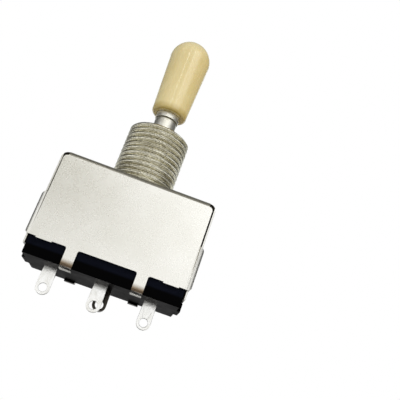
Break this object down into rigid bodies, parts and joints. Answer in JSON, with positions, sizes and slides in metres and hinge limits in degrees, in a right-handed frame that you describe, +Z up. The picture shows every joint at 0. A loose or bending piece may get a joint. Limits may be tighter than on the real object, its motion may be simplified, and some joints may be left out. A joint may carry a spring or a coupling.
{
  "type": "lever selector switch",
  "caption": "Boxed lever selector switch: a tipped lever in a threaded bushing works a notched slider and wiper contacts inside a folded metal case with solder lugs below.",
  "frame": {"origin": "centre of the case's top face, on the axis of the threaded bushing, which is the face that meets the panel", "axes": "+Z up the bushing and the lever, X along the long side of the case, -Y towards the face with the three front lugs"},
  "size_m": [0.03, 0.015, 0.0589],
  "materials": {
    "sheet_metal": "satin nickel plate",
    "bushing_metal": "nickel plated brass",
    "lever_metal": "bright turned",
    "tip_plastic": "glossy cream",
    "fibre_board": "dull laminate",
    "base_plastic": "glossy black moulding",
    "contact_metal": "tinned brass",
    "spring_metal": "spring strip",
    "slider_plastic": "natural nylon"
  },
  "bodies": {
    "housing": {"case": "sheet_metal", "insulating_board": "fibre_board", "bushing": "bushing_metal", "ball_retainer": "bushing_metal", "base": "base_plastic", "terminal_left": "contact_metal", "terminal_centre_front": "contact_metal", "terminal_right": "contact_metal", "terminal_centre_rear": "contact_metal", "detent_spring_front": "spring_metal", "detent_spring_rear": "spring_metal"},
    "lever": {"lever": "lever_metal", "pivot_pin": "lever_metal", "tip": "tip_plastic"},
    "slider": {"slider": "slider_plastic", "wiper_front": "spring_metal", "wiper_rear": "spring_metal"}
  },
  "joints": [
    {"name": "lever_tilt", "type": "hinge", "parent": "housing", "child": "lever", "pos_m": [0, 0, 0.0042], "axis": [0, 1, 0], "range_deg": [-13, 13]},
    {"name": "slider_travel", "type": "slide", "parent": "housing", "child": "slider", "axis": [1, 0, 0], "range_m": [-0.00275, 0.00275], "deforming": ["detent_spring_front", "detent_spring_rear"]}
  ],
  "couplings": [
    {"joint": "slider_travel", "follows": "lever_tilt", "m_per_rad": -0.012096}
  ]
}
